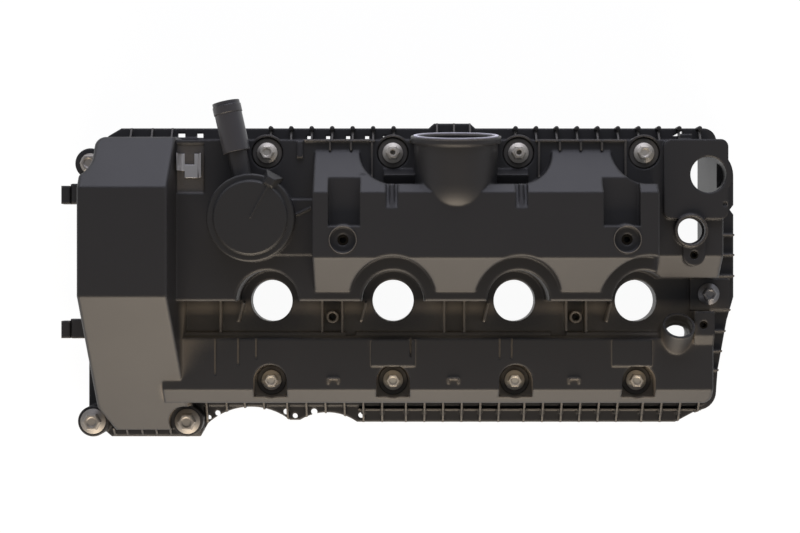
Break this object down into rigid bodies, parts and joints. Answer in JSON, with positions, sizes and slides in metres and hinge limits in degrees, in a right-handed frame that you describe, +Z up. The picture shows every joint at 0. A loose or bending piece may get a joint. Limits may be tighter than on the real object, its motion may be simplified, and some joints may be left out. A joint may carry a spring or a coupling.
{
  "type": "engine valve cover",
  "caption": "Black moulded nylon cover over a V8 cylinder head: plug wells, vent cap with outlet pipe, round actuator port, sensor holes, sealed rim and its own screws.",
  "frame": {"origin": "on the sealing plane, under the middle of the row of plug wells", "axes": "+X along the row of plug wells away from the timing end, +Y towards the inboard side with the port, +Z up out of the engine"},
  "size_m": [0.5595, 0.271, 0.1446],
  "materials": {
    "cover_nylon": "glass-filled nylon as moulded, fine satin",
    "cap_nylon": "glass-filled nylon, smoother satin",
    "zinc_steel": "bright zinc plating",
    "dark_steel": "black phosphate",
    "sleeve_steel": "plain turned steel",
    "black_rubber": "matt moulded rubber",
    "pale_rubber": "matt pale grey rubber",
    "spring_steel": "bright stamped strip",
    "brass": "turned brass, dull"
  },
  "bodies": {
    "cover": {"cover_shell": "cover_nylon", "vent_pipe": "cap_nylon", "baffle_plate": "cap_nylon", "inboard_bolt_1": "zinc_steel", "inboard_stud_2": "zinc_steel", "inboard_stud_3": "zinc_steel", "inboard_bolt_4": "zinc_steel", "outboard_bolt_1": "zinc_steel", "outboard_bolt_2": "zinc_steel", "outboard_bolt_3": "zinc_steel", "outboard_bolt_4": "zinc_steel", "timing_bolt_1": "zinc_steel", "timing_bolt_2": "zinc_steel", "timing_bolt_3": "zinc_steel", "end_bolt": "dark_steel", "inboard_sleeve_1": "sleeve_steel", "inboard_sleeve_2": "sleeve_steel", "inboard_sleeve_3": "sleeve_steel", "inboard_sleeve_4": "sleeve_steel", "outboard_sleeve_1": "sleeve_steel", "outboard_sleeve_2": "sleeve_steel", "outboard_sleeve_3": "sleeve_steel", "outboard_sleeve_4": "sleeve_steel", "timing_sleeve_1": "sleeve_steel", "timing_sleeve_2": "sleeve_steel", "timing_sleeve_3": "sleeve_steel", "end_sleeve": "sleeve_steel", "baffle_screws": "sleeve_steel", "perimeter_gasket": "black_rubber", "vent_diaphragm": "black_rubber", "plug_seal_1": "black_rubber", "plug_seal_2": "black_rubber", "plug_seal_3": "black_rubber", "plug_seal_4": "black_rubber", "inboard_grommet_1": "black_rubber", "inboard_grommet_2": "black_rubber", "inboard_grommet_3": "black_rubber", "inboard_grommet_4": "black_rubber", "outboard_grommet_1": "black_rubber", "outboard_grommet_2": "black_rubber", "outboard_grommet_3": "black_rubber", "outboard_grommet_4": "black_rubber", "port_seal": "pale_rubber", "spring_clip": "spring_steel", "vent_spring": "spring_steel", "cup_insert_1": "brass", "cup_insert_2": "brass", "valley_insert_1": "brass", "valley_insert_2": "brass", "sensor_insert_1": "brass", "sensor_insert_2": "brass"},
    "cap": {"vent_cap": "cap_nylon", "vent_seal": "black_rubber"}
  },
  "joints": [
    {"name": "cap_turn", "type": "hinge", "parent": "cover", "child": "cap", "pos_m": [-0.158, 0.065, 0.106], "axis": [0, 0, 1], "range_deg": [-30, 0]}
  ]
}
